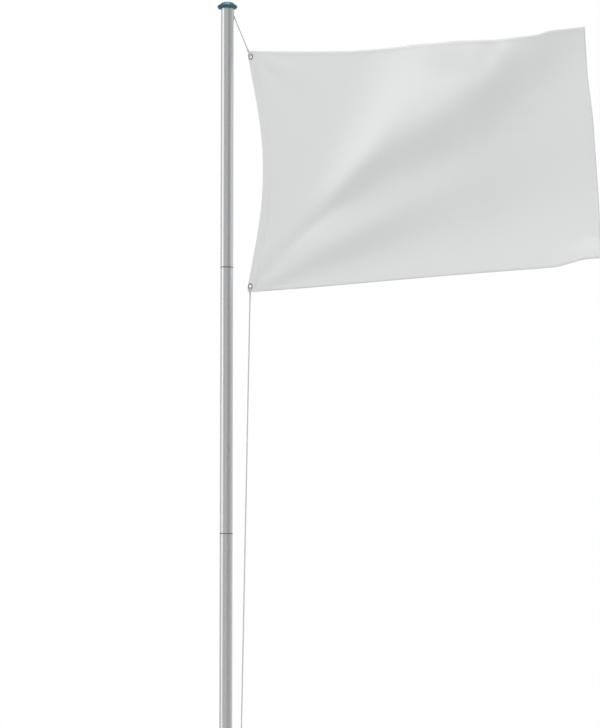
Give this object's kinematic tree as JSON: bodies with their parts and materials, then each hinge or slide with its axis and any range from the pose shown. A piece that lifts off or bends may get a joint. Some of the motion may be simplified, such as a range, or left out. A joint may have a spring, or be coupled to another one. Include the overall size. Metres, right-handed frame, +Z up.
{
  "type": "sectional flagpole with ground sleeve and flag",
  "caption": "Sectional aluminium flagpole in a ground sleeve, with a mushroom cap, internal halyard, horn cleat and a plain flag that is hoisted along it.",
  "frame": {"origin": "centre of the ground sleeve's flat bottom face", "axes": "+Z up the mast, +X along the flag to its fly end, -Y the side of the cleat and the port"},
  "size_m": [1.4516, 0.527, 6.2],
  "materials": {
    "mast_aluminium": "satin drawn tube",
    "sleeve_plastic": "satin teal moulding",
    "cap_plastic": "satin dark teal moulding",
    "black_plastic": "moulded, fine grain",
    "joint_seal": "dull",
    "steel": "turned",
    "cleat_metal": "cast, tumbled",
    "grommet_metal": "pressed eyelet",
    "flag_cloth": "plain woven polyester",
    "flag_header": "heading tape",
    "halyard": "braided cord"
  },
  "bodies": {
    "pole": {"ground_sleeve": "sleeve_plastic", "foot_spigot": "mast_aluminium", "head_cap": "cap_plastic", "head_plug": "black_plastic", "halyard_sheave": "black_plastic", "sheave_axle": "steel", "head_bush": "mast_aluminium", "port_bush": "black_plastic", "halyard_cleat": "cleat_metal", "halyard_upper": "halyard", "halyard_lower": "halyard", "halyard_inner": "halyard", "halyard_hitch": "halyard", "mast_section_1": "mast_aluminium", "mast_section_2": "mast_aluminium", "mast_section_3": "mast_aluminium", "mast_section_4": "mast_aluminium", "mast_section_5": "mast_aluminium", "mast_section_6": "mast_aluminium", "joint_ring_1": "joint_seal", "joint_ring_2": "joint_seal", "joint_ring_3": "joint_seal", "joint_ring_4": "joint_seal", "joint_ring_5": "joint_seal"},
    "flag": {"flag_cloth": "flag_cloth", "flag_header": "flag_header", "upper_grommet": "grommet_metal", "lower_grommet": "grommet_metal", "upper_knot": "halyard", "lower_knot": "halyard"}
  },
  "joints": [
    {"name": "flag_hoist", "type": "slide", "parent": "pole", "child": "flag", "axis": [0, 0, 1], "range_m": [-3.95, 0], "deforming": ["halyard_upper", "halyard_lower"]}
  ]
}
